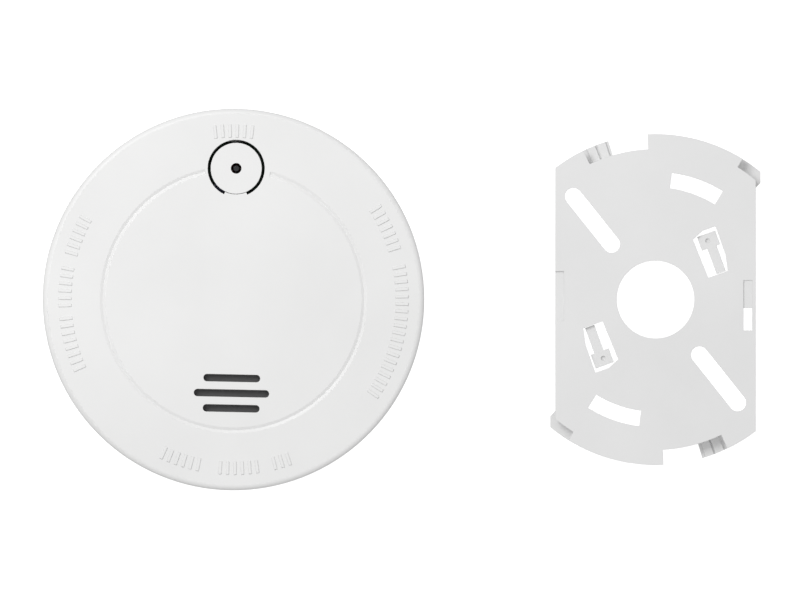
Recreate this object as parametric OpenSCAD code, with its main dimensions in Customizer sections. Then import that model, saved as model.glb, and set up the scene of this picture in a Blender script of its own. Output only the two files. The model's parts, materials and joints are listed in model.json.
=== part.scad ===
// Round battery smoke detector lying beside its ceiling bracket.
// Origin: centre of the bracket's ceiling face, +Z towards the ceiling.
// The head lies face up on the same surface as the bracket, on the -X side.
// Angles called "from top" run clockwise from +Y, seen from +Z.

/* [Head] */
// Outside radius of the round head
head_r = 50.5; // [50:0.5:62]
// Wall of the front cover
shell_t = 2; // [1.6:0.1:2.6]
// Rounding of the front edge
edge_r = 1.4; // [1:0.1:3]
// Depth of the back recess that takes the bracket
recess_h = 8; // [7.6:0.1:12]
// Thickness of the base floor
floor_t = 1.6; // [1.2:0.1:2.4]
// Number of smoke inlet slots round the side
inlet_count = 44; // [24:1:52]
// Height of the smoke inlet slots
inlet_h = 11; // [6:0.5:12]
// Radius of the engraved circle on the face
groove_r = 34.6; // [30:0.1:38]

/* [Test button] */
// Radius of the round hole that the button sits in
button_hole_r = 7.55; // [6:0.05:9]
// Width of the open slot round the button
button_slot = 0.8; // [0.4:0.05:1]
// Distance of the button's centre from the head's rim
button_inset = 15.8; // [14:0.2:18]
// Radius of the lamp hole in the button
lamp_hole_r = 1.4; // [1.2:0.05:1.6]

/* [Sounder] */
// Outside radius of the sounder housing
sounder_r = 15; // [12:0.5:17]
// Height of the sounder housing
sounder_h = 3.5; // [3:0.1:6]
// Distance of the sounder's centre from the head's centre
sounder_offset = 24.8; // [22:0.2:26]
// Width of a grille slot
grille_w = 1.95; // [1.2:0.05:2.4]
// Spacing of the grille slots
grille_pitch = 4; // [3:0.1:5]
// Length of the middle grille slot
grille_l = 19.9; // [14:0.1:22]

/* [Battery] */
// Length of the battery with its terminals
battery_l = 48.5; // [46:0.5:58.5]
// Width of the battery
battery_w = 26.5; // [22:0.5:27]
// Thickness of the battery
battery_t = 17.5; // [14:0.5:21]

/* [Smoke chamber] */
// Outside radius of the smoke chamber
chamber_r = 18; // [14:0.5:21.6]
// Height of the smoke chamber above the circuit board
chamber_h = 15.4; // [12:0.2:16]
// Number of light-trap vanes
vane_count = 24; // [16:1:30]

/* [Bracket] */
// Half the width across the bracket's straight sides
bracket_half_w = 26.65; // [24:0.05:32]
// Thickness of the bracket's plate
plate_t = 2; // [1.6:0.1:2.4]
// Radius of the cable hole
cable_hole_r = 10.3; // [8:0.1:12]
// Width of the screw slots
screw_slot_w = 4.55; // [3.5:0.05:5]
// Length of a screw slot between its end centres
screw_slot_run = 16.2; // [10:0.1:17]
// Distance of a screw slot's middle from the centre
screw_slot_r = 26.9; // [25:0.1:27.5]
// Thickness of the spring latch tongues
tongue_t = 1.4; // [1:0.1:1.6]
// Free gap between the head and the bracket as they lie
lay_gap = 33.5; // [20:0.5:60]

/* [Hidden] */
$fn = 96;
eps = 0.5;

// clearances
slip = 0.2;
close = 0.12;
free = 0.4;

// colours
white_head = [0.93, 0.93, 0.92];
white_bracket = [0.89, 0.89, 0.89];
black_part = [0.09, 0.09, 0.10];
steel = [0.72, 0.72, 0.74];
brass = [0.80, 0.65, 0.33];
board_green = [0.10, 0.36, 0.20];

// bayonet fit: posts under the base carry ledges that hook over the bracket's flanges
inner_r = head_r - shell_t;
base_r = inner_r - slip;
post_t = 2.8;
post_out_r = base_r - slip;
post_in_r = base_r - post_t;
rim_gap = 1.5;
bracket_r = post_in_r - rim_gap;
notch_depth = 4;
notch_r = bracket_r - notch_depth;
ledge_in_r = notch_r + 1.7;
flange_t = 1.5;
ledge_t = 1.8;
ledge_top = plate_t + free;
ledge_low = ledge_top + ledge_t;
flange_top = ledge_low + free;
flange_low = flange_top + flange_t;
skirt_low = flange_low + 0.9;
ceiling_gap = 0.6;
skirt_t = 0.9;
skirt_l = 40;
skirt_reach = 1.4;
web_t = 1.6;
lip_t = 1.3;
root_lap = 0.4;

// places of the bayonet parts, clockwise from top on the bracket
notch_from = -25.9;
notch_span = 23.1;
inner_hook_from = -25.9;
inner_hook_span = 9.4;
// lands of the inner hook: start and span in degrees, and how far each lies below the flange's top
inner_hook_lands = [[0, 9.4, 1], [1.3, 3.2, 0], [4.4, 0.8, 0.5], [5.1, 3.2, 0], [8.2, 1.2, 0.6]];
corner_hook_from = 31;
corner_hook_span = 11;
corner_hook_reach = 1.3;
corner_cut_from = 31.8;
corner_cut_span = 12;
corner_cut_depth = 2.6;
inner_ledge_from = -15;
inner_ledge_span = 10.5;
corner_ledge_from = 44;
corner_ledge_span = 10;

// openings in the bracket's plate
screw_slot_turn = 38.5;
arc_slot_in_r = 29.8;
arc_slot_out_r = 33.9;
arc_slot_from = 7.4;
arc_slot_span = 24.5;
edge_inset = 0.95;
edge_slot_w = 2.3;
edge_window_y = [-8.2, -2.3];
edge_channel_y = [-2.4, 5.1];
edge_channel_depth = 0.3;
edge_recess_y = [-5.7, 7.5];
edge_recess_depth = 0.5;

// heights of the head's insides above its back rim
floor_top = recess_h + floor_t;
battery_low = recess_h + free;
battery_top = battery_low + battery_t;
flag_t = 1;
flag_low = battery_top + slip;
well_roof = flag_low + flag_t + slip;
roof_t = 1;
sounder_low = well_roof + roof_t + slip;
cover_in = sounder_low + sounder_h;
head_h = cover_in + shell_t;
board_low = floor_top + 1.4;
board_t = 1.6;
board_top = board_low + board_t;

// resting layout
head_x = -(head_r + lay_gap + bracket_half_w + corner_hook_reach);
rest_low = -skirt_low;
works_turn = 34;
face_lean = -1.2;

// plan of the battery well, in the works frame
well_wall = 1.2;
well_x = -10.6;
well_w = battery_w + 0.5;
contact_room = 1.2;
well_y = -battery_l / 2 - 0.45;
well_l = battery_l + 0.6 + contact_room + slip;
terminal_h = 2.6;
terminal_r = [2.9, 3.7];
terminal_bore_r = [1.4, 2.7];
terminal_spread = 6.35;
battery_body_l = battery_l - terminal_h;

// other plans
board_r = head_r - 8.6;
board_edge_x = well_x + well_wall + 0.8;
boss_r = 3.1;
boss_sink = 0.5;
boss_place_r = inner_r - boss_r + boss_sink;
boss_angles = [114, 214, 354];
pilot_r = 1.1;
button_y = head_r - button_inset;
button_r = button_hole_r - button_slot;
hinge_gap_span = 48;
button_t = 2;
stem_offset = 4.6;
stem_r = 1.5;
switch_h = 4.2;
plunger_h = 1.6;
stem_low = board_top + switch_h + plunger_h + close;
switch_side = 4.6;
lamp_r = 1.1;
sounder_y = -sounder_offset;
chamber_at = [23, -4];
screen_t = 0.4;
spring_x = board_edge_x + 1.8;
spring_y = sounder_y * cos(works_turn - face_lean);
spring_steps = [0.3, 6.3];
groove_w = 1.5;
groove_d = 0.3;
groove_ends = [8.2, 9];
mark_h = 0.2;
mark_r = head_r - 5.9;
mark_l = 3.4;
mark_w = 0.75;
mark_step = 2.5;
// groups of marks: where each starts, clockwise from top, and how many marks it has
mark_groups = [[-6.2, 6], [57.5, 7], [79, 19], [161, 3], [172, 6], [192, 6], [246, 8], [268, 6], [286, 6]];

// latch tongues
tongue_at = [14.4, 12.4];
tongue_lean = 20;
window_outline = [[-2.6, -6.1], [2.9, -6.1], [3.8, -1.8], [3.9, 6.1], [0.1, 6.1], [-3, 4.8]];
window_low_y = -6.1;
stem_x = [-0.2, 2.4];
tongue_head_x = [-1.7, 3.4];
tongue_head_y = [1.2, 5.1];
tongue_drop = 1.2;
tongue_low = -tongue_drop - tongue_t;
bump_h = 1.2;
bump_r = 1;
bump_at = [0.6, 3.2];
bump_point = [tongue_at[0] + bump_at[0] * cos(tongue_lean) - bump_at[1] * sin(tongue_lean),
    tongue_at[1] + bump_at[0] * sin(tongue_lean) + bump_at[1] * cos(tongue_lean)];
rib_clear = 0.6;
rib_low = -tongue_low - ceiling_gap + rib_clear;
rib_lead = 6;
rib_angle = 180 - atan2(bump_point[1], bump_point[0]) + rib_lead;
rib_place_r = norm(bump_point);

// --- helpers -------------------------------------------------------------

// Part of a ring, clockwise from top by span degrees, between two heights
module arc_block(r_in, r_out, from_top, span, z_low, z_high)
    rotate([0, 0, 90 - from_top - span])
        rotate_extrude(angle = span)
            translate([r_in, z_low])
                square([r_out - r_in, z_high - z_low]);

// Flat bar with round ends, centred, along X
module stadium(length, width, height)
    linear_extrude(height) {
        square([length - width, width], center = true);
        for (side = [-1, 1])
            translate([side * (length - width) / 2, 0]) circle(d = width);
    }

module block(low, size)
    translate(low) cube(size);

// Frame of the head: z = 0 at its back rim, +Z out of its face
module on_head()
    translate([head_x, 0, rest_low]) children();

// Frame of what shows on the head's face, which is turned a little against its back
module on_face()
    on_head() rotate([0, 0, face_lean]) children();

// Frame of the head's insides: the battery lies along Y, on the -X side
module in_works()
    on_head() rotate([0, 0, works_turn]) children();

module twice()
    for (turn = [0, 180])
        rotate([0, 0, turn]) children();

// --- bracket -------------------------------------------------------------

module tongue_frame()
    translate([tongue_at[0], tongue_at[1], 0])
        rotate([0, 0, tongue_lean]) children();

module bracket_outline() {
    difference() {
        translate([0, 0, -plate_t])
            intersection() {
                cylinder(r = bracket_r, h = plate_t);
                translate([-bracket_half_w, -bracket_r, 0])
                    cube([2 * bracket_half_w, 2 * bracket_r, plate_t]);
            }
        twice()
            arc_block(notch_r, bracket_r + eps, notch_from, notch_span, -plate_t - eps, eps);
    }
}

// Stiffening skirt under the straight sides
module bracket_skirt()
    for (side = [-1, 1])
        translate([side * (bracket_half_w - skirt_t / 2) - skirt_t / 2, -skirt_l / 2, -plate_t - skirt_reach])
            cube([skirt_t, skirt_l, skirt_reach + slip]);

// Web under the plate's edge, with a lip at its foot
module hook_web(from_top, span) {
    arc_block(notch_r - web_t, notch_r, from_top, span, -flange_low, -plate_t + slip);
    arc_block(notch_r - root_lap, notch_r - root_lap + lip_t, from_top, span, -skirt_low, -flange_low + 0.1);
}

// L-shaped hooks: a web and a flange that points outwards
module hooks()
    twice() {
        hook_web(inner_hook_from, inner_hook_span);
        for (land = inner_hook_lands)
            arc_block(notch_r - root_lap, bracket_r, inner_hook_from + land[0], land[1],
                -flange_low, -flange_top - land[2]);
        intersection() {
            union() {
                hook_web(corner_hook_from, corner_hook_span);
                arc_block(notch_r - root_lap, bracket_r, corner_hook_from, corner_hook_span,
                    -flange_low, -flange_top);
            }
            block([0, 0, -skirt_low - eps],
                [bracket_half_w + corner_hook_reach, bracket_r + eps, skirt_low + 2 * eps]);
        }
    }

// Slot or channel along a straight side, between two places along Y
module side_cut(x, width, y_ends, depth)
    block([x, y_ends[0], -depth], [width, y_ends[1] - y_ends[0], depth + eps]);

module plate_openings() {
    through = plate_t + skirt_reach + eps;
    translate([0, 0, -plate_t - eps])
        cylinder(r = cable_hole_r, h = plate_t + 2 * eps);
    twice() {
        rotate([0, 0, 90 + screw_slot_turn])
            translate([screw_slot_r, 0, -plate_t - eps])
                stadium(screw_slot_run + screw_slot_w, screw_slot_w, plate_t + 2 * eps);
        arc_block(arc_slot_in_r, arc_slot_out_r, arc_slot_from, arc_slot_span, -plate_t - eps, eps);
        arc_block(bracket_r - corner_cut_depth, bracket_r + eps, corner_cut_from, corner_cut_span,
            -plate_t - eps, eps);
        tongue_frame()
            translate([0, 0, -plate_t - eps])
                linear_extrude(plate_t + 2 * eps) polygon(window_outline);
    }
    side_cut(bracket_half_w - edge_inset - edge_slot_w, edge_slot_w, edge_window_y, through);
    side_cut(bracket_half_w - edge_inset - edge_slot_w, edge_slot_w, edge_channel_y, edge_channel_depth);
    side_cut(-bracket_half_w - eps, edge_slot_w + eps, edge_recess_y, edge_recess_depth);
}

module bracket_plate()
    color(white_bracket)
        difference() {
            union() {
                bracket_outline();
                bracket_skirt();
                hooks();
            }
            plate_openings();
        }

// Sprung tongue: a narrow stem, a wide head and a round bump under the head
module latch_tongue()
    tongue_frame()
        translate([0, 0, tongue_low]) {
            difference() {
                union() {
                    block([stem_x[0], window_low_y + close, 0],
                        [stem_x[1] - stem_x[0], tongue_head_y[0] - window_low_y, tongue_t]);
                    block([tongue_head_x[0], tongue_head_y[0], 0],
                        [tongue_head_x[1] - tongue_head_x[0], tongue_head_y[1] - tongue_head_y[0], tongue_t]);
                }
                translate([bump_at[0], bump_at[1], tongue_t - 0.5])
                    cylinder(r = 0.6, h = 1, $fn = 32);
            }
            translate([bump_at[0], bump_at[1], -bump_h])
                cylinder(r = bump_r, h = bump_h + 0.2, $fn = 32);
        }

module latch_tongue_a()
    color(white_bracket) latch_tongue();

module latch_tongue_b()
    color(white_bracket) rotate([0, 0, 180]) latch_tongue();

// --- head: shells ----------------------------------------------------------

module cover_profile()
    difference() {
        union() {
            square([head_r - edge_r, head_h]);
            square([head_r, head_h - edge_r]);
            translate([head_r - edge_r, head_h - edge_r]) circle(r = edge_r);
        }
        translate([-1, -1]) square([inner_r + 1, cover_in + 1]);
        translate([-1, -1]) square([1, head_h + 2]);
    }

// Engraved circle that stops on both sides of the button
module face_groove() {
    gap_left = asin(groove_ends[0] / groove_r);
    gap_right = asin(groove_ends[1] / groove_r);
    rotate([0, 0, 90 + gap_left])
        rotate_extrude(angle = 360 - gap_left - gap_right)
            polygon([[groove_r - groove_w / 2, head_h + 0.01], [groove_r, head_h - groove_d],
                [groove_r + groove_w / 2, head_h + 0.01]]);
}

module button_opening() {
    translate([0, button_y, 0]) {
        translate([0, 0, cover_in - eps])
            cylinder(r = button_r + close, h = shell_t + 2 * eps);
        rotate([0, 0, 270 + hinge_gap_span / 2])
            rotate_extrude(angle = 360 - hinge_gap_span)
                translate([button_r, cover_in - eps])
                    square([button_slot, shell_t + 2 * eps]);
    }
}

module grille_slots()
    for (row = [-1, 0, 1])
        translate([0, sounder_y + row * grille_pitch, cover_in - eps])
            stadium(row == 0 ? grille_l : grille_l - 4.9, grille_w, shell_t + 2 * eps);

module side_inlets()
    for (index = [0 : inlet_count - 1])
        rotate([0, 0, (index + 0.5) * 360 / inlet_count])
            translate([inner_r - eps, -0.9, (head_h - inlet_h) / 2 + 3])
                cube([shell_t + 2 * eps, 1.8, inlet_h]);

// Raised index marks, in groups round the face
module face_marks()
    translate([0, 0, head_h - slip])
        linear_extrude(mark_h + slip)
            for (group = mark_groups)
                for (index = [0 : group[1] - 1])
                    rotate([0, 0, 90 - group[0] - index * mark_step])
                        translate([mark_r - mark_l / 2, -mark_w / 2])
                            square([mark_l, mark_w]);

module cover_bosses()
    for (angle = boss_angles)
        rotate([0, 0, angle])
            translate([boss_place_r, 0, floor_top + 0.1])
                cylinder(r = boss_r, h = cover_in - floor_top + 0.1, $fn = 48);

module front_cover()
    color(white_head) on_head()
        difference() {
            union() {
                rotate_extrude() cover_profile();
                cover_bosses();
                face_marks();
            }
            rotate([0, 0, face_lean]) {
                face_groove();
                button_opening();
                grille_slots();
            }
            side_inlets();
            for (angle = boss_angles)
                rotate([0, 0, angle])
                    translate([boss_place_r, 0, floor_top - eps])
                        cylinder(r = pilot_r, h = 10, $fn = 32);
        }

// Bayonet post and ledge, mirrored to the head's own frame
module bayonet_ledge(from_top, span) {
    ledge_near = ledge_top - ceiling_gap;
    rotate([0, 0, 90 - from_top - span])
        rotate_extrude(angle = span)
            polygon([[ledge_in_r, ledge_near], [post_out_r, ledge_near], [post_out_r, recess_h + slip],
                [post_in_r, recess_h + slip], [post_in_r, ledge_near + ledge_t],
                [ledge_in_r, ledge_near + ledge_t]]);
}

module well_shell() {
    outer = [well_w + 2 * well_wall, well_l + 2 * well_wall, well_roof + roof_t - recess_h];
    block([well_x - well_w - well_wall, well_y - well_wall, recess_h], outer);
}

module well_hollow()
    block([well_x - well_w, well_y, recess_h - eps], [well_w, well_l, well_roof - recess_h + eps]);

module base()
    color(white_head) on_head()
        difference() {
            union() {
                translate([0, 0, recess_h]) cylinder(r = base_r, h = floor_t);
                twice() {
                    bayonet_ledge(-inner_ledge_from - inner_ledge_span, inner_ledge_span);
                    bayonet_ledge(-corner_ledge_from - corner_ledge_span, corner_ledge_span);
                }
                twice()
                    rotate([0, 0, rib_angle])
                        block([rib_place_r - 2.5, -0.5, rib_low], [5, 1, recess_h - rib_low + slip]);
                rotate([0, 0, works_turn]) {
                    well_shell();
                    for (place = [[-4, 34], [-4, -35], [37, 12], [33, -22]])
                        translate([place[0], place[1], floor_top - slip])
                            cylinder(r = 2, h = board_low - floor_top + slip, $fn = 32);
                }
            }
            rotate([0, 0, works_turn]) well_hollow();
            for (angle = boss_angles)
                rotate([0, 0, angle])
                    translate([boss_place_r, 0, recess_h - eps])
                        cylinder(r = pilot_r + 0.3, h = floor_t + 2 * eps, $fn = 32);
        }

module cover_screws()
    color(steel) on_head()
        for (angle = boss_angles)
            rotate([0, 0, angle])
                translate([boss_place_r, 0, recess_h - 1.3])
                    difference() {
                        union() {
                            cylinder(r = 2.5, h = 1.3, $fn = 48);
                            cylinder(r = pilot_r, h = 10, $fn = 32);
                        }
                        for (turn = [0, 90])
                            rotate([0, 0, turn])
                                translate([-1.5, -0.3, -eps])
                                cube([3, 0.6, 0.7 + eps]);
                    }

module rating_label()
    color("white") on_head()
        translate([0, 0, recess_h - 0.25])
            cylinder(r = 8.6, h = 0.25);

// --- head: button, lamp and switch -----------------------------------------

module test_button()
    color(white_head) on_face()
        translate([0, button_y, 0])
            difference() {
                union() {
                    translate([0, 0, head_h - button_t]) cylinder(r = button_r, h = button_t);
                    translate([0, stem_offset, stem_low])
                        cylinder(r = stem_r, h = head_h - button_t / 2 - stem_low, $fn = 32);
                }
                translate([0, 0, cover_in - eps])
                    cylinder(r = lamp_hole_r, h = shell_t + 2 * eps, $fn = 48);
            }

module light_pipe()
    color([0.85, 0.85, 0.88]) on_face()
        translate([0, button_y, board_top + 3.4])
            cylinder(r = lamp_r - 0.35, h = head_h - 1.6 - board_top - 3.4, $fn = 32);

module status_led()
    color([0.75, 0.15, 0.12]) on_face()
        translate([0, button_y, board_top]) {
            cylinder(r = 1.6, h = 1, $fn = 32);
            cylinder(r = 1.3, h = 3.3, $fn = 32);
        }

module test_switch()
    color(black_part) on_face()
        translate([0, button_y + stem_offset, board_top])
            difference() {
                block([-switch_side / 2, -switch_side / 2, 0], [switch_side, switch_side, switch_h]);
                translate([0, 0, switch_h - 1.6]) cylinder(r = 1.35, h = 2, $fn = 32);
            }

module switch_plunger()
    color("gainsboro") on_face()
        translate([0, button_y + stem_offset, board_top + switch_h - 0.7])
            cylinder(r = 1.2, h = plunger_h + 0.7, $fn = 32);

// --- head: circuit board ----------------------------------------------------

module circuit_board()
    color(board_green) in_works()
        difference() {
            translate([0, 0, board_low]) cylinder(r = board_r, h = board_t);
            block([-board_r - eps, -board_r - eps, board_low - eps],
                [board_r + eps + board_edge_x, 2 * board_r + 2 * eps, board_t + 2 * eps]);
        }

module microcontroller()
    color(black_part) in_works()
        translate([3, -35, board_top]) {
            block([0, 0, 0.3], [7, 7, 1.4]);
            for (index = [0 : 4])
                block([-0.9, 0.8 + index * 1.25, 0], [8.8, 0.5, 0.5]);
        }

module capacitors()
    color([0.15, 0.18, 0.35]) in_works()
        for (place = [[4, 27, 3, 9], [12, 26, 2.5, 7]])
            translate([place[0], place[1], board_top])
                cylinder(r = place[2], h = place[3], $fn = 48);

module boost_coil()
    color([0.20, 0.16, 0.13]) in_works()
        translate([-3.6, 4, board_top]) {
            cylinder(r = 3.6, h = 1, $fn = 48);
            cylinder(r = 2.9, h = 7, $fn = 48);
            translate([0, 0, 6]) cylinder(r = 3.6, h = 1, $fn = 48);
        }

module resistors()
    color(black_part) in_works()
        for (column = [0 : 1], row = [0 : 4])
            block([-6 + column * 4, 12 + row * 3, board_top], [2, 1.2, 0.6]);

// --- head: smoke chamber ----------------------------------------------------

module in_chamber()
    in_works() translate([chamber_at[0], chamber_at[1], board_top]) children();

module chamber_base()
    color(black_part) in_chamber() {
        cylinder(r = chamber_r, h = 1.6);
        block([-12, -2, 1.4], [6, 4, 2.4]);
        rotate([0, 0, 125]) block([-12, -2, 1.4], [6, 4, 2.4]);
    }

module chamber_cap()
    color(black_part) in_chamber() {
        translate([0, 0, chamber_h - 1.4]) cylinder(r = chamber_r, h = 1.4);
        for (index = [0 : vane_count - 1])
            rotate([0, 0, index * 360 / vane_count])
                translate([chamber_r - 2.2, 0, 1.7])
                    rotate([0, 0, 38])
                        block([-2, -0.4, 0], [4, 0.8, chamber_h - 2.4]);
    }

module insect_screen()
    color([0.35, 0.35, 0.37]) in_chamber()
        difference() {
            cylinder(r = chamber_r + close + screen_t, h = chamber_h - 1);
            translate([0, 0, -eps]) cylinder(r = chamber_r + close, h = chamber_h + eps);
            for (index = [0 : 35])
                rotate([0, 0, index * 10])
                    block([chamber_r - 1, -0.9, 2.4], [3, 1.8, chamber_h - 5.4]);
        }

// Round device lying on its post, its lens towards the chamber's middle
module optic_device(length, r_lens)
    translate([-12, 0, 3.8 + 2])
        rotate([0, 90, 0]) {
            cylinder(r = 2, h = length - r_lens, $fn = 48);
            translate([0, 0, length - r_lens]) sphere(r = r_lens, $fn = 48);
        }

module ir_emitter()
    color([0.45, 0.50, 0.62]) in_chamber() optic_device(7, 1.9);

module photodiode()
    color([0.16, 0.14, 0.20]) in_chamber() rotate([0, 0, 125]) optic_device(6, 1.9);

// --- head: sounder -----------------------------------------------------------

module sounder_housing()
    color([0.30, 0.30, 0.31]) on_face()
        translate([0, sounder_y, sounder_low]) {
            difference() {
                cylinder(r = sounder_r, h = sounder_h);
                translate([0, 0, -eps]) cylinder(r = sounder_r - 2, h = 1.1 + eps);
                translate([0, 0, -eps]) cylinder(r = sounder_r - 3.2, h = sounder_h + 2 * eps);
            }
            translate([0, 0, sounder_h - 1.6])
                difference() {
                    cylinder(r = sounder_r - 3, h = 0.8);
                    for (across = [-1, 1], row = [-0.5, 0.5])
                        translate([across * 4, row * grille_pitch, -eps])
                            cylinder(r = 0.8, h = 2, $fn = 32);
                }
        }

module piezo_disc()
    color(brass) on_face()
        translate([0, sounder_y, sounder_low + 0.5]) {
            cylinder(r = sounder_r - 2.1, h = 0.3);
            translate([0, 0, 0.3]) cylinder(r = sounder_r - 5, h = 0.2);
        }

module sounder_springs()
    color(steel) in_works()
        for (step = spring_steps)
            translate([spring_x, spring_y + step, board_top]) {
                cylinder(r = 1.5, h = 0.8, $fn = 32);
                cylinder(r = 0.7, h = sounder_low + 0.5 - board_top, $fn = 32);
            }

// --- head: battery -------------------------------------------------------------

module battery()
    color([0.16, 0.16, 0.18]) in_works()
        translate([well_x - well_w / 2, -battery_l / 2, battery_low]) {
            difference() {
                block([-battery_w / 2, 0, 0], [battery_w, battery_body_l, battery_t]);
                for (side = [-1, 1], level = [0, 1])
                    translate([side * battery_w / 2, -eps, level * battery_t])
                        rotate([0, 45, 0])
                            cube([2.4, 2 * battery_l + 4, 2.4], center = true);
            }
            for (end = [0, 1])
                translate([(2 * end - 1) * terminal_spread, battery_body_l - 0.1, battery_t / 2])
                    rotate([-90, 0, 0])
                        difference() {
                            cylinder(r = terminal_r[end], h = terminal_h + 0.1, $fn = 48);
                            translate([0, 0, 1])
                                cylinder(r = terminal_bore_r[end], h = terminal_h + eps, $fn = 48);
                        }
        }

module battery_contacts()
    color(brass) in_works()
        for (side = [-1, 1])
            translate([well_x - well_w / 2 + side * terminal_spread, battery_l / 2 + slip, 0])
                block([-3.4, 0, battery_low + 1], [6.8, 0.5, battery_t - 3]);

// Lever that drops out of the empty well and keeps the head off its bracket
module battery_flag()
    color([0.75, 0.10, 0.08]) in_works() {
        block([well_x - well_w / 2 - 3, well_y + well_l - 28, flag_low], [6, 26, flag_t]);
        translate([well_x - well_w / 2 - 5, well_y + well_l - 2, flag_low + flag_t / 2])
            rotate([0, 90, 0]) cylinder(r = flag_t / 2, h = 10, $fn = 32);
    }

// --- build -----------------------------------------------------------------

bracket_plate();
latch_tongue_a();
latch_tongue_b();
front_cover();
base();
test_button();
light_pipe();
status_led();
test_switch();
switch_plunger();
circuit_board();
microcontroller();
capacitors();
boost_coil();
resistors();
chamber_base();
chamber_cap();
insect_screen();
ir_emitter();
photodiode();
sounder_housing();
piezo_disc();
sounder_springs();
battery();
battery_contacts();
battery_flag();
cover_screws();
rating_label();
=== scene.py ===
"""Looks of a round smoke detector head and the bracket that holds it on the ceiling."""

import json
import math

import bmesh
import bpy
from bpy.props import FloatProperty, FloatVectorProperty, IntProperty, PointerProperty
from mathutils import Matrix, Vector

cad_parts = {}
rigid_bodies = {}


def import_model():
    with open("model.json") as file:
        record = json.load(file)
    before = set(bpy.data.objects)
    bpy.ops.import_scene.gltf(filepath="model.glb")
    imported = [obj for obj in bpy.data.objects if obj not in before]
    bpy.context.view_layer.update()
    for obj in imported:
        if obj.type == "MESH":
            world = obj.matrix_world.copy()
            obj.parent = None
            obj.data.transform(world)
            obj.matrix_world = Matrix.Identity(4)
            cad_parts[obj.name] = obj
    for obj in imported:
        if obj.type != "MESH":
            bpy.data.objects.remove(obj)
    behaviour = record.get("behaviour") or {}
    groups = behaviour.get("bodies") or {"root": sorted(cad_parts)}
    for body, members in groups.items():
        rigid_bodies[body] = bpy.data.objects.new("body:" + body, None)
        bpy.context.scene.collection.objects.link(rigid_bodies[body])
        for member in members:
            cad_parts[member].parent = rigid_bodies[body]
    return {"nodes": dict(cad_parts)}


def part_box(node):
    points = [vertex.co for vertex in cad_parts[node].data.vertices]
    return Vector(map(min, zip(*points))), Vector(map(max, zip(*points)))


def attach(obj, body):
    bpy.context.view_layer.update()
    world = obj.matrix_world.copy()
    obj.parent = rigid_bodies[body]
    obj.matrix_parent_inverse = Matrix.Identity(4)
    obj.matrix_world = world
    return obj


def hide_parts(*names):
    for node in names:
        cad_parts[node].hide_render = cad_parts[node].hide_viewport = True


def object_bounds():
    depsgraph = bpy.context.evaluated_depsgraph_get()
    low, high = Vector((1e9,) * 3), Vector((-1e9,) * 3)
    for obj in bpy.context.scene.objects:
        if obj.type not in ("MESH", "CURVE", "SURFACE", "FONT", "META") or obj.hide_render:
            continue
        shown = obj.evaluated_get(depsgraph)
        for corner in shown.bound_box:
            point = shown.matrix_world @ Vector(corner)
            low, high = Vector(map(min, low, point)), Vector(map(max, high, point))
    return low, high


bl_info = {
    "name": "Smoke Detector Looks",
    "version": (1, 0, 0),
    "blender": (4, 5, 0),
    "location": "3D View > Sidebar > Detector",
    "description": "Builds the finishes and fine pieces of a smoke detector round its packed model",
    "category": "Add Mesh",
}

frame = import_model()
cad_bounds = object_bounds()

MM = 0.001
EDGE_RADIUS = 0.22 * MM
WELD = 0.002 * MM
SMOOTH_DEGREES = 30
WORKS_DEGREES = 34
NODES = frame["nodes"]


# --- places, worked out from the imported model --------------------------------

def foot_of(low, high):
    """Middle of the bottom of a box."""
    return Vector(((low.x + high.x) / 2, (low.y + high.y) / 2, low.z))


def centre_of(node):
    low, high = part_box(node)
    return (low + high) / 2


HEAD = centre_of("front_cover")
FLOOR_Z = cad_bounds[0].z
CHAMBER = centre_of("chamber_cap")
BATTERY = centre_of("battery")

# the stage: what lies in the middle of the view, the lights from there, and the floor
MIDDLE_FROM_HEAD = Vector((44.05, -0.13, 0.0)) * MM
KEY_PLACE = Vector((-0.24, 0.26, 0.6))
KEY_SIZE = 0.35
FILL_PLACE = Vector((1.1, -0.7, 0.9))
FILL_SIZE = 1.2
FLOOR_HALF = 3.0
FLOOR_GAP = 0.05 * MM
FLOOR_TONE = 0.6
FLOOR_GLOW = 0.85


# --- sizes and colours that a user would change -------------------------------

def length(name, description, default):
    return FloatProperty(name=name, description=description, default=default, min=0.0, unit="LENGTH",
                         precision=5)


def colour(name, description, default):
    return FloatVectorProperty(name=name, description=description, default=default, size=3, min=0.0, max=1.0,
                               subtype="COLOR")


class DETECTOR_PG_shells(bpy.types.PropertyGroup):
    """White mouldings"""
    head_tone: colour("Head tone", "Plastic of the head", (0.818, 0.818, 0.815))
    bracket_tone: colour("Bracket tone", "Plastic of the bracket", (0.812, 0.812, 0.812))
    sounder_tone: colour("Sounder tone", "Plastic behind the sounder's slots", (0.096, 0.096, 0.098))


class DETECTOR_PG_inside(bpy.types.PropertyGroup):
    """What is inside the head"""
    wire: length("Screen wire", "Thickness of the insect screen's wire", 0.16 * MM)
    screen_columns: IntProperty(name="Screen columns", description="Meshes round the insect screen",
                                default=128, min=24, max=200)
    screen_rows: IntProperty(name="Screen rows", description="Meshes up the insect screen",
                             default=18, min=4, max=40)
    copper_wire: length("Winding wire", "Thickness of the coil's wire", 0.45 * MM)
    small_edge: length("Small edge", "Rounding of the small pieces' edges", 0.12 * MM)


class DETECTOR_PG_stage(bpy.types.PropertyGroup):
    """Floor, light and camera"""
    view_width: length("View width", "Width of the view at the height of the face", 211.6 * MM)
    view_height: length("View height", "Height of the camera above the face", 6.0)
    key_power: FloatProperty(name="Key power", description="Power of the main soft light",
                             default=2.2, min=0.0, unit="POWER")
    fill_power: FloatProperty(name="Fill power", description="Power of the light on the other side",
                              default=0.4, min=0.0, unit="POWER")
    sky: FloatProperty(name="Sky", description="Strength of the even light from all round",
                       default=0.6, min=0.0)


# --- mesh helpers ----------------------------------------------------------------

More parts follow.
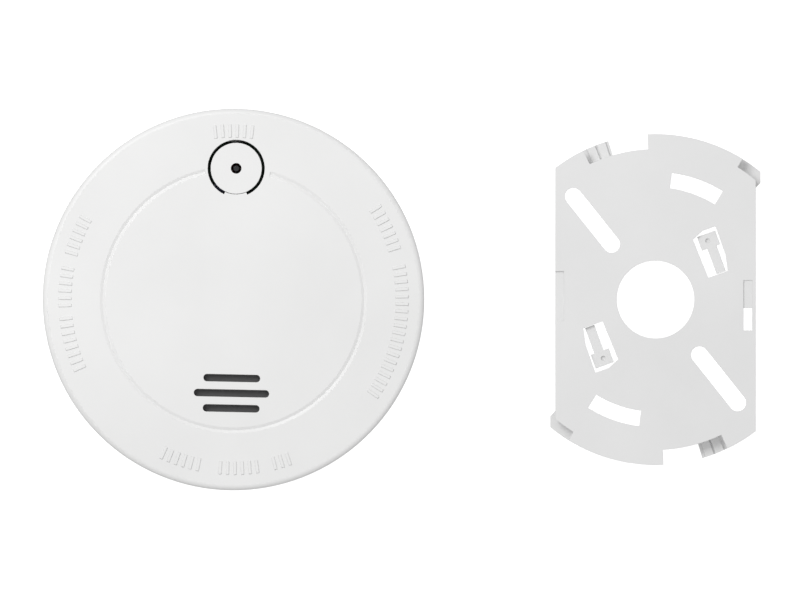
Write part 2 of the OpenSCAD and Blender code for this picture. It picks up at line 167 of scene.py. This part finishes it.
def new_piece(name, shape):
    """Object made from a bmesh whose points are already in the model's frame."""
    bmesh.ops.recalc_face_normals(shape, faces=shape.faces)
    mesh = bpy.data.meshes.new(name)
    shape.to_mesh(mesh)
    shape.free()
    piece = bpy.data.objects.new(name, mesh)
    bpy.context.scene.collection.objects.link(piece)
    return piece


def dress(piece, body, material, nodes=()):
    """Gives a piece its material, the body that it moves with and the nodes it stands for."""
    piece.data.materials.clear()
    piece.data.materials.append(material)
    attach(piece, body)
    if nodes:
        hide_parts(*nodes)
    return piece


def smooth_by_angle(piece, degrees):
    for face in piece.data.polygons:
        face.use_smooth = True
    piece.data.set_sharp_from_angle(angle=math.radians(degrees))


def add_bevel(piece, width, segments=2, degrees=40):
    bevel = piece.modifiers.new("soft_edges", "BEVEL")
    bevel.width = width
    bevel.segments = segments
    bevel.limit_method = "ANGLE"
    bevel.angle_limit = math.radians(degrees)
    bevel.use_clamp_overlap = False
    bevel.miter_outer = "MITER_ARC"
    bevel.loop_slide = False
    bevel.harden_normals = False
    weight = piece.modifiers.new("face_weight", "WEIGHTED_NORMAL")
    weight.keep_sharp = False
    return piece


def cut_in_cells(shape, step):
    """Cuts the long thin triangles of flat faces into cells, so that a rounding stays beside its edge."""
    low = Vector([min(vert.co[axis] for vert in shape.verts) for axis in range(3)])
    high = Vector([max(vert.co[axis] for vert in shape.verts) for axis in range(3)])
    for axis in range(3):
        normal = Vector([float(axis == each) for each in range(3)])
        count = int((high[axis] - low[axis]) / step)
        for index in range(count):
            at = low + normal * (index + 0.5) * (high[axis] - low[axis]) / count
            bmesh.ops.bisect_plane(shape, geom=shape.verts[:] + shape.edges[:] + shape.faces[:],
                                   dist=0.01 * MM, plane_co=at, plane_no=normal)


def softened(node, name, width, segments=2, cell=3.0 * MM):
    """Copy of a CAD node with its edges rounded."""
    shape = bmesh.new()
    shape.from_mesh(NODES[node].data)
    bmesh.ops.remove_doubles(shape, verts=shape.verts, dist=WELD)
    cut_in_cells(shape, cell)
    piece = new_piece(name, shape)
    smooth_by_angle(piece, SMOOTH_DEGREES)
    return add_bevel(piece, width, segments)


def finish_node(node, material):
    """A CAD node that stays as it is and gets a better material."""
    mesh = NODES[node].data
    mesh.materials.clear()
    mesh.materials.append(material)
    smooth_by_angle(NODES[node], SMOOTH_DEGREES)


def parts_of(node):
    """Boxes of the separate solids of a CAD node, from the least X to the most."""
    shape = bmesh.new()
    shape.from_mesh(NODES[node].data)
    bmesh.ops.remove_doubles(shape, verts=shape.verts, dist=WELD)
    left = set(shape.verts)
    boxes = []
    while left:
        solid = [left.pop()]
        for vert in solid:
            near = {edge.other_vert(vert) for edge in vert.link_edges} & left
            left -= near
            solid.extend(near)
        low = Vector([min(vert.co[axis] for vert in solid) for axis in range(3)])
        high = Vector([max(vert.co[axis] for vert in solid) for axis in range(3)])
        boxes.append((low, high))
    shape.free()
    return sorted(boxes, key=lambda box: box[0].x)


def lathe(shape, base, profile, steps=40):
    """Turns a profile of (radius, height) pairs, in millimetres, round a vertical axis."""
    verts = [shape.verts.new(base + Vector((radius, 0.0, height)) * MM) for radius, height in profile]
    edges = [shape.edges.new(pair) for pair in zip(verts, verts[1:])]
    bmesh.ops.spin(shape, geom=verts + edges, cent=base, axis=(0, 0, 1), angle=math.tau, steps=steps,
                   use_merge=True)
    bmesh.ops.remove_doubles(shape, verts=shape.verts, dist=0.001 * MM)


def coil_up(shape, base, radius, wire, turns, rise, sides=8, steps_a_turn=24):
    """Wire wound up a vertical axis, with both its ends closed."""
    start = base + Vector((radius, 0.0, wire))
    place = Matrix.Translation(start) @ Matrix.Rotation(math.radians(90), 4, "X")
    made = bmesh.ops.create_circle(shape, segments=sides, radius=wire, matrix=place)
    loop = list({edge for vert in made["verts"] for edge in vert.link_edges})
    steps = int(turns * steps_a_turn)
    bmesh.ops.spin(shape, geom=made["verts"] + loop, cent=base, axis=(0, 0, 1), angle=math.tau * turns,
                   dvec=(0.0, 0.0, rise / steps), steps=steps, use_merge=False)
    ends = [edge for edge in shape.edges if edge.is_boundary]
    bmesh.ops.holes_fill(shape, edges=ends, sides=sides)


def ring_at(shape, centre, radius, wire, turns_round=48, sides=8):
    """Torus round a vertical axis, made by a full spin of a small circle."""
    start = centre + Vector((radius, 0.0, 0.0))
    place = Matrix.Translation(start) @ Matrix.Rotation(math.radians(90), 4, "X")
    made = bmesh.ops.create_circle(shape, segments=sides, radius=wire, matrix=place)
    loop = list({edge for vert in made["verts"] for edge in vert.link_edges})
    bmesh.ops.spin(shape, geom=made["verts"] + loop, cent=centre, axis=(0, 0, 1), angle=math.tau,
                   steps=turns_round, use_merge=True)


# --- materials --------------------------------------------------------------------

def make_group(name, inputs, outputs):
    group = bpy.data.node_groups.new(name, "ShaderNodeTree")
    for label, kind, value in inputs:
        socket = group.interface.new_socket(label, in_out="INPUT", socket_type=kind)
        socket.default_value = value
    for label, kind in outputs:
        group.interface.new_socket(label, in_out="OUTPUT", socket_type=kind)
    start = group.nodes.new("NodeGroupInput")
    end = group.nodes.new("NodeGroupOutput")
    return group, start, end


def place_noise(group, vector, scale, detail=3.0, roughness=0.55):
    noise = group.nodes.new("ShaderNodeTexNoise")
    noise.inputs["Detail"].default_value = detail
    noise.inputs["Roughness"].default_value = roughness
    group.links.new(vector, noise.inputs["Vector"])
    if hasattr(scale, "links"):
        group.links.new(scale, noise.inputs["Scale"])
    else:
        noise.inputs["Scale"].default_value = scale
    return noise.outputs["Fac"]


def place_range(group, value, low, high, out_low, out_high):
    ranged = group.nodes.new("ShaderNodeMapRange")
    for label, given in (("Value", value), ("From Min", low), ("From Max", high),
                         ("To Min", out_low), ("To Max", out_high)):
        if hasattr(given, "links"):
            group.links.new(given, ranged.inputs[label])
        else:
            ranged.inputs[label].default_value = given
    return ranged.outputs["Result"]


def place_mix(group, amount, first, second):
    mix = group.nodes.new("ShaderNodeMix")
    mix.data_type = "RGBA"
    for socket, given in ((mix.inputs["Factor"], amount), (mix.inputs["A"], first),
                          (mix.inputs["B"], second)):
        target = socket
        if socket.name in "AB":
            target = [s for s in mix.inputs if s.name == socket.name and s.type == "RGBA"][0]
        if hasattr(given, "links"):
            group.links.new(given, target)
        else:
            target.default_value = given
    return [s for s in mix.outputs if s.type == "RGBA"][0]


def object_coordinates(tree):
    return tree.nodes.new("ShaderNodeTexCoord").outputs["Object"]


def moulded_skin():
    """Group: slow colour drift, fine spark-eroded grain and uneven gloss of a moulding."""
    name = "moulded_skin"
    if name in bpy.data.node_groups:
        return bpy.data.node_groups[name]
    group, start, end = make_group(
        name,
        [("Tone", "NodeSocketColor", (0.8, 0.8, 0.8, 1)),
         ("Drift Tone", "NodeSocketColor", (0.7, 0.7, 0.7, 1)),
         ("Drift Scale", "NodeSocketFloat", 30.0), ("Grain Scale", "NodeSocketFloat", 2500.0),
         ("Grain Depth", "NodeSocketFloat", 0.01 * MM), ("Gloss Low", "NodeSocketFloat", 0.35),
         ("Gloss High", "NodeSocketFloat", 0.5)],
        [("Color", "NodeSocketColor"), ("Roughness", "NodeSocketFloat"), ("Normal", "NodeSocketVector")])
    place = object_coordinates(group)
    drift = place_noise(group, place, start.outputs["Drift Scale"], 4.0)
    drift = place_range(group, drift, 0.35, 0.68, 0.0, 1.0)
    tone = place_mix(group, drift, start.outputs["Tone"], start.outputs["Drift Tone"])
    grain = place_noise(group, place, start.outputs["Grain Scale"], 2.0)
    smudge = place_noise(group, place, 90.0, 5.0, 0.7)
    gloss = place_range(group, smudge, 0.3, 0.72, start.outputs["Gloss Low"], start.outputs["Gloss High"])
    edge = group.nodes.new("ShaderNodeBevel")
    edge.samples = 6
    edge.inputs["Radius"].default_value = EDGE_RADIUS
    bump = group.nodes.new("ShaderNodeBump")
    bump.inputs["Strength"].default_value = 0.6
    group.links.new(edge.outputs["Normal"], bump.inputs["Normal"])
    group.links.new(start.outputs["Grain Depth"], bump.inputs["Distance"])
    group.links.new(grain, bump.inputs["Height"])
    group.links.new(tone, end.inputs["Color"])
    group.links.new(gloss, end.inputs["Roughness"])
    group.links.new(bump.outputs["Normal"], end.inputs["Normal"])
    return group


def drawn_metal():
    """Group: fine lines along one way, with dull patches, as on drawn or rolled metal."""
    name = "drawn_metal"
    if name in bpy.data.node_groups:
        return bpy.data.node_groups[name]
    group, start, end = make_group(
        name,
        [("Tone", "NodeSocketColor", (0.6, 0.6, 0.6, 1)), ("Tarnish", "NodeSocketColor", (0.4, 0.4, 0.4, 1)),
         ("Line Scale", "NodeSocketFloat", 900.0), ("Turn", "NodeSocketVector", (0.0, 0.0, 0.0))],
        [("Color", "NodeSocketColor"), ("Roughness", "NodeSocketFloat"), ("Normal", "NodeSocketVector")])
    mapping = group.nodes.new("ShaderNodeMapping")
    mapping.inputs["Scale"].default_value = (1.0, 0.08, 1.0)
    group.links.new(object_coordinates(group), mapping.inputs["Vector"])
    group.links.new(start.outputs["Turn"], mapping.inputs["Rotation"])
    lines = place_noise(group, mapping.outputs["Vector"], start.outputs["Line Scale"], 2.0)
    patches = place_noise(group, mapping.outputs["Vector"], 160.0, 4.0)
    patches = place_range(group, patches, 0.4, 0.75, 0.0, 1.0)
    tone = place_mix(group, patches, start.outputs["Tone"], start.outputs["Tarnish"])
    gloss = place_range(group, lines, 0.3, 0.7, 0.22, 0.46)
    bump = group.nodes.new("ShaderNodeBump")
    bump.inputs["Strength"].default_value = 0.4
    bump.inputs["Distance"].default_value = 0.006 * MM
    group.links.new(lines, bump.inputs["Height"])
    group.links.new(tone, end.inputs["Color"])
    group.links.new(gloss, end.inputs["Roughness"])
    group.links.new(bump.outputs["Normal"], end.inputs["Normal"])
    return group


def finish_name(name):
    """Name of a finish made here: the frame has plain materials of its own under the bare names."""
    return name + "_finish"


def plain_material(name, viewport):
    """New material with its node tree and shader; the colour is the one that a solid viewport shows."""
    material = bpy.data.materials.new(finish_name(name))
    material.use_nodes = True
    material.diffuse_color = (*viewport, 1.0)
    return material, material.node_tree, material.node_tree.nodes["Principled BSDF"]


def use_group(tree, group, shader, values):
    """Places a group in a material, sets its values and joins its outputs to the shader."""
    placed = tree.nodes.new("ShaderNodeGroup")
    placed.node_tree = group
    for label, value in values.items():
        placed.inputs[label].default_value = value
    for label, target in (("Color", "Base Color"), ("Roughness", "Roughness"), ("Normal", "Normal")):
        tree.links.new(placed.outputs[label], shader.inputs[target])
    return placed


def shade(tone, share):
    """Tone made darker by a share, with full alpha."""
    return (*(part * share for part in tone), 1.0)


def moulded(name, tone, drift=0.965, grain=2500.0, depth=0.012 * MM, gloss=(0.36, 0.5)):
    """Moulded plastic: drift is the darkest share of its tone, grain and depth its surface."""
    if finish_name(name) in bpy.data.materials:
        return bpy.data.materials[finish_name(name)]
    material, tree, shader = plain_material(name, tone)
    use_group(tree, moulded_skin(), shader, {
        "Tone": shade(tone, 1.0), "Drift Tone": shade(tone, drift), "Grain Scale": grain,
        "Grain Depth": depth, "Gloss Low": gloss[0], "Gloss High": gloss[1]})
    shader.inputs["IOR"].default_value = 1.5
    return material


def metal(name, tone, tarnish=0.75, turn=0.0):
    """Drawn or rolled metal: tarnish is the darkest share of its tone, turn the way of its lines."""
    if finish_name(name) in bpy.data.materials:
        return bpy.data.materials[finish_name(name)]
    material, tree, shader = plain_material(name, tone)
    use_group(tree, drawn_metal(), shader, {
        "Tone": shade(tone, 1.0), "Tarnish": shade(tone, tarnish), "Turn": (0.0, 0.0, turn)})
    shader.inputs["Metallic"].default_value = 1.0
    return material


def head_plastic():
    return moulded("head_plastic", bpy.context.scene.detector_shells.head_tone)


def bracket_plastic():
    return moulded("bracket_plastic", bpy.context.scene.detector_shells.bracket_tone, gloss=(0.42, 0.56))


def black_plastic():
    return moulded("black_plastic", (0.03, 0.03, 0.033), drift=0.7, grain=1800.0, gloss=(0.55, 0.7))


def component_black():
    return moulded("component_black", (0.035, 0.035, 0.04), drift=0.8, grain=6000.0, gloss=(0.45, 0.6))


def clear_plastic():
    """Light pipe: clear plastic painted near black, a painted shade for the dark inside the deep lamp hole,
    under a glossy coat.
    """
    material, tree, shader = plain_material("clear_plastic", (0.3, 0.3, 0.32))
    use_group(tree, moulded_skin(), shader, {
        # near-black tone and drift: painted shade of the lamp hole, not the clear plastic's own colour
        "Tone": (0.012, 0.012, 0.014, 1), "Drift Tone": (0.008, 0.008, 0.01, 1), "Grain Depth": 0.002 * MM,
        "Gloss Low": 0.08, "Gloss High": 0.16})
    shader.inputs["Coat Weight"].default_value = 0.5
    return material


def tinted_lens(name, tone):
    """Moulded lens: an even deep tint under a smooth, coated surface."""
    material, tree, shader = plain_material(name, tone)
    use_group(tree, moulded_skin(), shader, {
        "Tone": shade(tone, 1.0), "Drift Tone": shade(tone, 0.6), "Drift Scale": 300.0,
        "Grain Depth": 0.001 * MM, "Gloss Low": 0.06, "Gloss High": 0.14})
    shader.inputs["Coat Weight"].default_value = 0.6
    return material


def board_finish():
    """Green solder mask over copper: lighter tracks run in square steps under it."""
    material, tree, shader = plain_material("board", (0.03, 0.16, 0.07))
    mapping = tree.nodes.new("ShaderNodeMapping")
    mapping.inputs["Rotation"].default_value = (0.0, 0.0, math.radians(-WORKS_DEGREES))
    mapping.inputs["Scale"].default_value = (1.0, 1.0, 0.0)
    tree.links.new(object_coordinates(tree), mapping.inputs["Vector"])
    bricks = tree.nodes.new("ShaderNodeTexBrick")
    bricks.inputs["Scale"].default_value = 90.0
    bricks.inputs["Mortar Size"].default_value = 0.07
    bricks.inputs["Mortar Smooth"].default_value = 0.1
    bricks.inputs["Color1"].default_value = (0.004, 0.022, 0.011, 1)
    bricks.inputs["Color2"].default_value = (0.005, 0.028, 0.014, 1)
    bricks.inputs["Mortar"].default_value = (0.012, 0.06, 0.026, 1)
    tree.links.new(mapping.outputs["Vector"], bricks.inputs["Vector"])
    tree.links.new(bricks.outputs["Color"], shader.inputs["Base Color"])
    fine = place_noise(tree, mapping.outputs["Vector"], 700.0, 3.0)
    tree.links.new(place_range(tree, fine, 0.3, 0.7, 0.24, 0.4), shader.inputs["Roughness"])
    bump = tree.nodes.new("ShaderNodeBump")
    bump.inputs["Distance"].default_value = 0.03 * MM
    bump.inputs["Strength"].default_value = 0.5
    tree.links.new(bricks.outputs["Fac"], bump.inputs["Height"])
    tree.links.new(bump.outputs["Normal"], shader.inputs["Normal"])
    return material


def battery_jacket():
    """Dark printed jacket with one plain copper-coloured band, and bare metal at both ends."""
    material, tree, shader = plain_material("battery_jacket", (0.05, 0.05, 0.06))
    mapping = tree.nodes.new("ShaderNodeMapping")
    mapping.vector_type = "TEXTURE"
    mapping.inputs["Location"].default_value = BATTERY
    mapping.inputs["Rotation"].default_value = (0.0, 0.0, math.radians(WORKS_DEGREES))
    tree.links.new(object_coordinates(tree), mapping.inputs["Vector"])
    split = tree.nodes.new("ShaderNodeSeparateXYZ")
    tree.links.new(mapping.outputs["Vector"], split.inputs["Vector"])
    along = split.outputs["Y"]
    band = place_range(tree, along, 7.0 * MM, 7.15 * MM, 0.0, 1.0)
    colours = place_mix(tree, band, (0.035, 0.035, 0.04, 1), (0.52, 0.25, 0.09, 1))
    ends = place_range(tree, along, 20.9 * MM, 21.0 * MM, 0.0, 1.0)
    colours = place_mix(tree, ends, colours, (0.45, 0.45, 0.46, 1))
    scuff = place_noise(tree, object_coordinates(tree), 500.0, 5.0, 0.7)
    colours = place_mix(tree, place_range(tree, scuff, 0.66, 0.74, 0.0, 0.5), colours, (0.4, 0.4, 0.4, 1))
    tree.links.new(colours, shader.inputs["Base Color"])
    tree.links.new(place_range(tree, scuff, 0.3, 0.7, 0.26, 0.42), shader.inputs["Roughness"])
    tree.links.new(place_range(tree, along, 6.9 * MM, 7.1 * MM, 0.2, 0.9), shader.inputs["Metallic"])
    return material


# --- operators ----------------------------------------------------------------------

class DetectorOperator:
    """What every maker of pieces here shares"""
    bl_options = {"REGISTER", "UNDO"}

    @classmethod
    def poll(cls, context):
        return context.scene is not None


class DETECTOR_OT_stage(DetectorOperator, bpy.types.Operator):
    """Add the floor, the soft lights and the camera straight above"""
    bl_idname = "detector.stage"
    bl_label = "Stage"

    def execute(self, context):
        values = context.scene.detector_stage
        self.add_floor()
        middle = Vector((HEAD.x, HEAD.y, 0.0)) + MIDDLE_FROM_HEAD
        self.add_camera(context, values, middle)
        self.add_area("key_light", middle + KEY_PLACE, middle, KEY_SIZE, values.key_power)
        self.add_area("fill_light", middle + FILL_PLACE, middle, FILL_SIZE, values.fill_power)
        world = bpy.data.worlds.new("even_sky")
        world.use_nodes = True
        world.node_tree.nodes["Background"].inputs["Color"].default_value = (1.0, 1.0, 1.0, 1.0)
        world.node_tree.nodes["Background"].inputs["Strength"].default_value = values.sky
        context.scene.world = world
        context.scene.view_settings.view_transform = "Standard"
        return {"FINISHED"}

    def add_floor(self):
        shape = bmesh.new()
        place = Matrix.Translation((HEAD.x, HEAD.y, FLOOR_Z - FLOOR_GAP))
        bmesh.ops.create_grid(shape, x_segments=1, y_segments=1, size=FLOOR_HALF, matrix=place)
        floor = new_piece("floor", shape)
        material, tree, shader = plain_material("pale_floor", (0.95, 0.95, 0.95))
        shader.inputs["Base Color"].default_value = (FLOOR_TONE, FLOOR_TONE, FLOOR_TONE, 1)
        shader.inputs["Roughness"].default_value = 0.7
        shader.inputs["Emission Color"].default_value = (1.0, 1.0, 1.0, 1)
        shader.inputs["Emission Strength"].default_value = FLOOR_GLOW
        # the floor is there only for the camera above it, so the back of the head shows and is lit from below
        path = tree.nodes.new("ShaderNodeLightPath")
        side = tree.nodes.new("ShaderNodeNewGeometry")
        seen = tree.nodes.new("ShaderNodeMath")
        seen.operation = "SUBTRACT"
        seen.use_clamp = True
        tree.links.new(path.outputs["Is Camera Ray"], seen.inputs[0])
        tree.links.new(side.outputs["Backfacing"], seen.inputs[1])
        clear = tree.nodes.new("ShaderNodeBsdfTransparent")
        either = tree.nodes.new("ShaderNodeMixShader")
        tree.links.new(seen.outputs["Value"], either.inputs[0])
        tree.links.new(clear.outputs["BSDF"], either.inputs[1])
        tree.links.new(shader.outputs["BSDF"], either.inputs[2])
        tree.links.new(either.outputs["Shader"], tree.nodes["Material Output"].inputs["Surface"])
        floor.data.materials.append(material)

    def add_camera(self, context, values, middle):
        lens_data = bpy.data.cameras.new("overhead_camera")
        lens_data.sensor_width = 36.0
        lens_data.lens = lens_data.sensor_width * values.view_height / values.view_width
        lens_data.clip_end = 20.0
        camera = bpy.data.objects.new("overhead_camera", lens_data)
        face_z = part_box("front_cover")[1].z
        camera.location = (middle.x, middle.y, face_z + values.view_height)
        context.scene.collection.objects.link(camera)
        context.scene.camera = camera

    def add_area(self, name, place, target, side, power):
        light = bpy.data.lights.new(name, "AREA")
        light.shape = "DISK"
        light.size = side
        light.energy = power
        lamp = bpy.data.objects.new(name, light)
        lamp.location = place
        lamp.rotation_euler = (place - target).to_track_quat("Z", "Y").to_euler()
        bpy.context.scene.collection.objects.link(lamp)


class DETECTOR_OT_bracket(DetectorOperator, bpy.types.Operator):
    """Finish the bracket and its two spring tongues"""
    bl_idname = "detector.bracket"
    bl_label = "Bracket"

    def execute(self, context):
        for node in ("bracket_plate", "latch_tongue_a", "latch_tongue_b"):
            finish_node(node, bracket_plastic())
        return {"FINISHED"}


class DETECTOR_OT_shells(DetectorOperator, bpy.types.Operator):
    """Finish the front cover, the base, its screws and its blank label"""
    bl_idname = "detector.shells"
    bl_label = "Head shells"

    def execute(self, context):
        for node in ("front_cover", "base"):
            finish_node(node, head_plastic())
        finish_node("cover_screws", metal("screw_steel", (0.62, 0.62, 0.64)))
        finish_node("rating_label", moulded("label_paper", (0.84, 0.84, 0.81), drift=0.93, grain=1500.0,
                                            gloss=(0.6, 0.75)))
        return {"FINISHED"}


class DETECTOR_OT_button(DetectorOperator, bpy.types.Operator):
    """Finish the test button, its lamp and its switch"""
    bl_idname = "detector.button"
    bl_label = "Button, lamp and switch"

    def execute(self, context):
        finish_node("test_button", head_plastic())
        # the light pipe's near-black finish is painted shade of the lamp hole
        finish_node("light_pipe", clear_plastic())
        self.add_lamp()
        finish_node("test_switch", component_black())
        finish_node("switch_plunger", moulded("plunger_plastic", (0.6, 0.6, 0.58)))
        return {"FINISHED"}

    def add_lamp(self):
        """Lamp with a flange, a straight body and a round dome."""
        low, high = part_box("status_led")
        flange, body, straight = 1.6, 1.3, 2.0
        dome = (high.z - low.z) / MM - straight
        rounds = [(body * math.cos(math.radians(turn)), straight + dome * math.sin(math.radians(turn)))
                  for turn in range(0, 91, 10)]
        shape = bmesh.new()
        lathe(shape, foot_of(low, high),
              [(0, 0), (flange, 0), (flange, 0.9), (flange - 0.1, 1.0), (body, 1.0), *rounds])
        lamp = new_piece("status_lamp", shape)
        smooth_by_angle(lamp, 40)
        dress(lamp, "head", tinted_lens("led_lens", (0.16, 0.012, 0.01)), ["status_led"])


class DETECTOR_OT_sounder(DetectorOperator, bpy.types.Operator):
    """Finish the sounder's housing, disc and springs"""
    bl_idname = "detector.sounder"
    bl_label = "Sounder"

    def execute(self, context):
        tone = context.scene.detector_shells.sounder_tone
        finish_node("sounder_housing", moulded("sounder_plastic", tone, drift=0.85, grain=1600.0,
                                               gloss=(0.5, 0.65)))
        finish_node("piezo_disc", metal("brass_disc", (0.72, 0.53, 0.24)))
        self.add_springs()
        return {"FINISHED"}

    def add_springs(self):
        """Two contact springs between the circuit board and the sounder's disc."""
        outside = 1.45 * MM
        wire = 0.2 * MM
        seat = 0.7 * MM
        turns = 9
        shape = bmesh.new()
        for low, high in parts_of("sounder_springs"):
            foot = foot_of(low, high)
            lathe(shape, foot, [(0, 0), (1.5, 0), (1.5, 0.5), (1.3, 0.7), (0.7, 0.7), (0.7, 1.6), (0.5, 1.8),
                                (0, 1.8)])
            coil_up(shape, foot + Vector((0.0, 0.0, seat)), outside - wire, wire, turns,
                    high.z - low.z - seat - 2 * wire)
        springs = new_piece("contact_springs", shape)
        smooth_by_angle(springs, 50)
        dress(springs, "head", metal("spring_steel", (0.6, 0.6, 0.62)), ["sounder_springs"])


class DETECTOR_OT_circuit(DetectorOperator, bpy.types.Operator):
    """Finish the circuit board and what is soldered to it"""
    bl_idname = "detector.circuit"
    bl_label = "Circuit board"

    def execute(self, context):
        finish_node("circuit_board", board_finish())
        finish_node("microcontroller", component_black())
        finish_node("resistors", component_black())
        self.add_capacitors()
        finish_node("boost_coil", moulded("coil_ferrite", (0.06, 0.05, 0.045), drift=0.7, gloss=(0.5, 0.7)))
        self.add_winding(context.scene.detector_inside)
        return {"FINISHED"}

    def add_capacitors(self):
        """Two cans with a crimped foot and a sunk top."""
        shape = bmesh.new()
        for low, high in parts_of("capacitors"):
            radius = (high.x - low.x) / 2 / MM
            tall = (high.z - low.z) / MM
            lathe(shape, foot_of(low, high),
                  [(0, 0), (radius - 0.3, 0), (radius, 0.3), (radius, 1.1), (radius - 0.2, 1.4),
                   (radius - 0.2, 1.6), (radius, 1.9), (radius, tall - 0.35), (radius - 0.1, tall - 0.1),
                   (radius - 0.35, tall),
                   (radius - 0.7, tall), (radius - 0.8, tall - 0.15), (0, tall - 0.15)])
        cans = new_piece("capacitor_cans", shape)
        smooth_by_angle(cans, 40)
        sleeve = moulded("capacitor_sleeve", (0.03, 0.05, 0.16), drift=0.8, gloss=(0.2, 0.32))
        dress(cans, "head", sleeve, ["capacitors"])

    def add_winding(self, values):
        """Copper wire on the coil's core, between its two flanges."""
        low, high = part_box("boost_coil")
        foot = foot_of(low, high)
        core = 2.9 * MM
        flange = 1.2 * MM
        wire = values.copper_wire / 2
        shape = bmesh.new()
        turns = int((high.z - low.z - 2 * flange) / values.copper_wire)
        for turn in range(turns):
            level = flange + (turn + 0.5) * values.copper_wire
            ring_at(shape, foot + Vector((0.0, 0.0, level)), core + wire, wire * 0.98, 32, 6)
        winding = new_piece("coil_winding", shape)
        smooth_by_angle(winding, 60)
        dress(winding, "head", metal("copper_wire", (0.62, 0.26, 0.13)))


class DETECTOR_OT_chamber(DetectorOperator, bpy.types.Operator):
    """Finish the smoke chamber, its optics and its insect screen"""
    bl_idname = "detector.chamber"
    bl_label = "Smoke chamber"

    def execute(self, context):
        finish_node("chamber_base", black_plastic())
        finish_node("chamber_cap", black_plastic())
        finish_node("ir_emitter", tinted_lens("ir_lens", (0.16, 0.2, 0.3)))
        finish_node("photodiode", tinted_lens("diode_lens", (0.04, 0.03, 0.06)))
        self.add_screen(context.scene.detector_inside)
        return {"FINISHED"}

    def add_screen(self, values):
        """Woven screen: an open tube of square meshes, each side a wire."""
        low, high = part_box("insect_screen")
        radius = (high.x - low.x) / 2 - values.wire
        shape = bmesh.new()
        first = Vector((CHAMBER.x + radius, CHAMBER.y, low.z + values.wire))
        verts = [shape.verts.new(first)]
        step = (high.z - low.z - 2 * values.wire) / values.screen_rows
        for row in range(values.screen_rows):
            verts.append(shape.verts.new(first + Vector((0.0, 0.0, (row + 1) * step))))
        edges = [shape.edges.new(pair) for pair in zip(verts, verts[1:])]
        bmesh.ops.spin(shape, geom=verts + edges, cent=CHAMBER, axis=(0, 0, 1), angle=math.tau,
                       steps=values.screen_columns, use_merge=True)
        screen = new_piece("woven_screen", shape)
        wires = screen.modifiers.new("wires", "WIREFRAME")
        wires.thickness = values.wire
        wires.use_even_offset = False
        dress(screen, "head", metal("screen_steel", (0.45, 0.45, 0.46)), ["insect_screen"])


class DETECTOR_OT_battery(DetectorOperator, bpy.types.Operator):
    """Finish the battery, its contacts and the missing-battery lever"""
    bl_idname = "detector.battery"
    bl_label = "Battery"

    def execute(self, context):
        edge = context.scene.detector_inside.small_edge
        battery = softened("battery", "battery_can", edge)
        dress(battery, "battery", battery_jacket(), ["battery"])
        finish_node("battery_contacts", metal("contact_brass", (0.7, 0.56, 0.3)))
        finish_node("battery_flag", moulded("flag_plastic", (0.6, 0.04, 0.03), drift=0.85,
                                            gloss=(0.25, 0.36)))
        return {"FINISHED"}


class DETECTOR_PT_panel(bpy.types.Panel):
    """Sidebar list of the makers and their values"""
    bl_label = "Smoke detector"
    bl_idname = "DETECTOR_PT_panel"
    bl_space_type = "VIEW_3D"
    bl_region_type = "UI"
    bl_category = "Detector"

    def draw(self, context):
        scene = context.scene
        for group in (scene.detector_shells, scene.detector_inside, scene.detector_stage):
            box = self.layout.box()
            for name in group.__annotations__:
                box.prop(group, name)
        for maker in MAKERS:
            self.layout.operator(maker.bl_idname)


MAKERS = (DETECTOR_OT_stage, DETECTOR_OT_bracket, DETECTOR_OT_shells, DETECTOR_OT_button, DETECTOR_OT_sounder,
          DETECTOR_OT_circuit, DETECTOR_OT_chamber, DETECTOR_OT_battery)
GROUPS = (DETECTOR_PG_shells, DETECTOR_PG_inside, DETECTOR_PG_stage)


def register():
    for each in (*GROUPS, *MAKERS, DETECTOR_PT_panel):
        bpy.utils.register_class(each)
    bpy.types.Scene.detector_shells = PointerProperty(type=DETECTOR_PG_shells)
    bpy.types.Scene.detector_inside = PointerProperty(type=DETECTOR_PG_inside)
    bpy.types.Scene.detector_stage = PointerProperty(type=DETECTOR_PG_stage)


def unregister():
    del bpy.types.Scene.detector_stage
    del bpy.types.Scene.detector_inside
    del bpy.types.Scene.detector_shells
    for each in reversed((*GROUPS, *MAKERS, DETECTOR_PT_panel)):
        bpy.utils.unregister_class(each)


def clear_start_scene():
    for thing in list(bpy.data.objects):
        if thing.type in ("LIGHT", "CAMERA") or thing.name == "Cube":
            bpy.data.objects.remove(thing)


def main():
    register()
    clear_start_scene()
    bpy.ops.detector.stage()
    bpy.ops.detector.bracket()
    bpy.ops.detector.shells()
    bpy.ops.detector.button()
    bpy.ops.detector.sounder()
    bpy.ops.detector.circuit()
    bpy.ops.detector.chamber()
    bpy.ops.detector.battery()


if __name__ == "__main__":
    main()
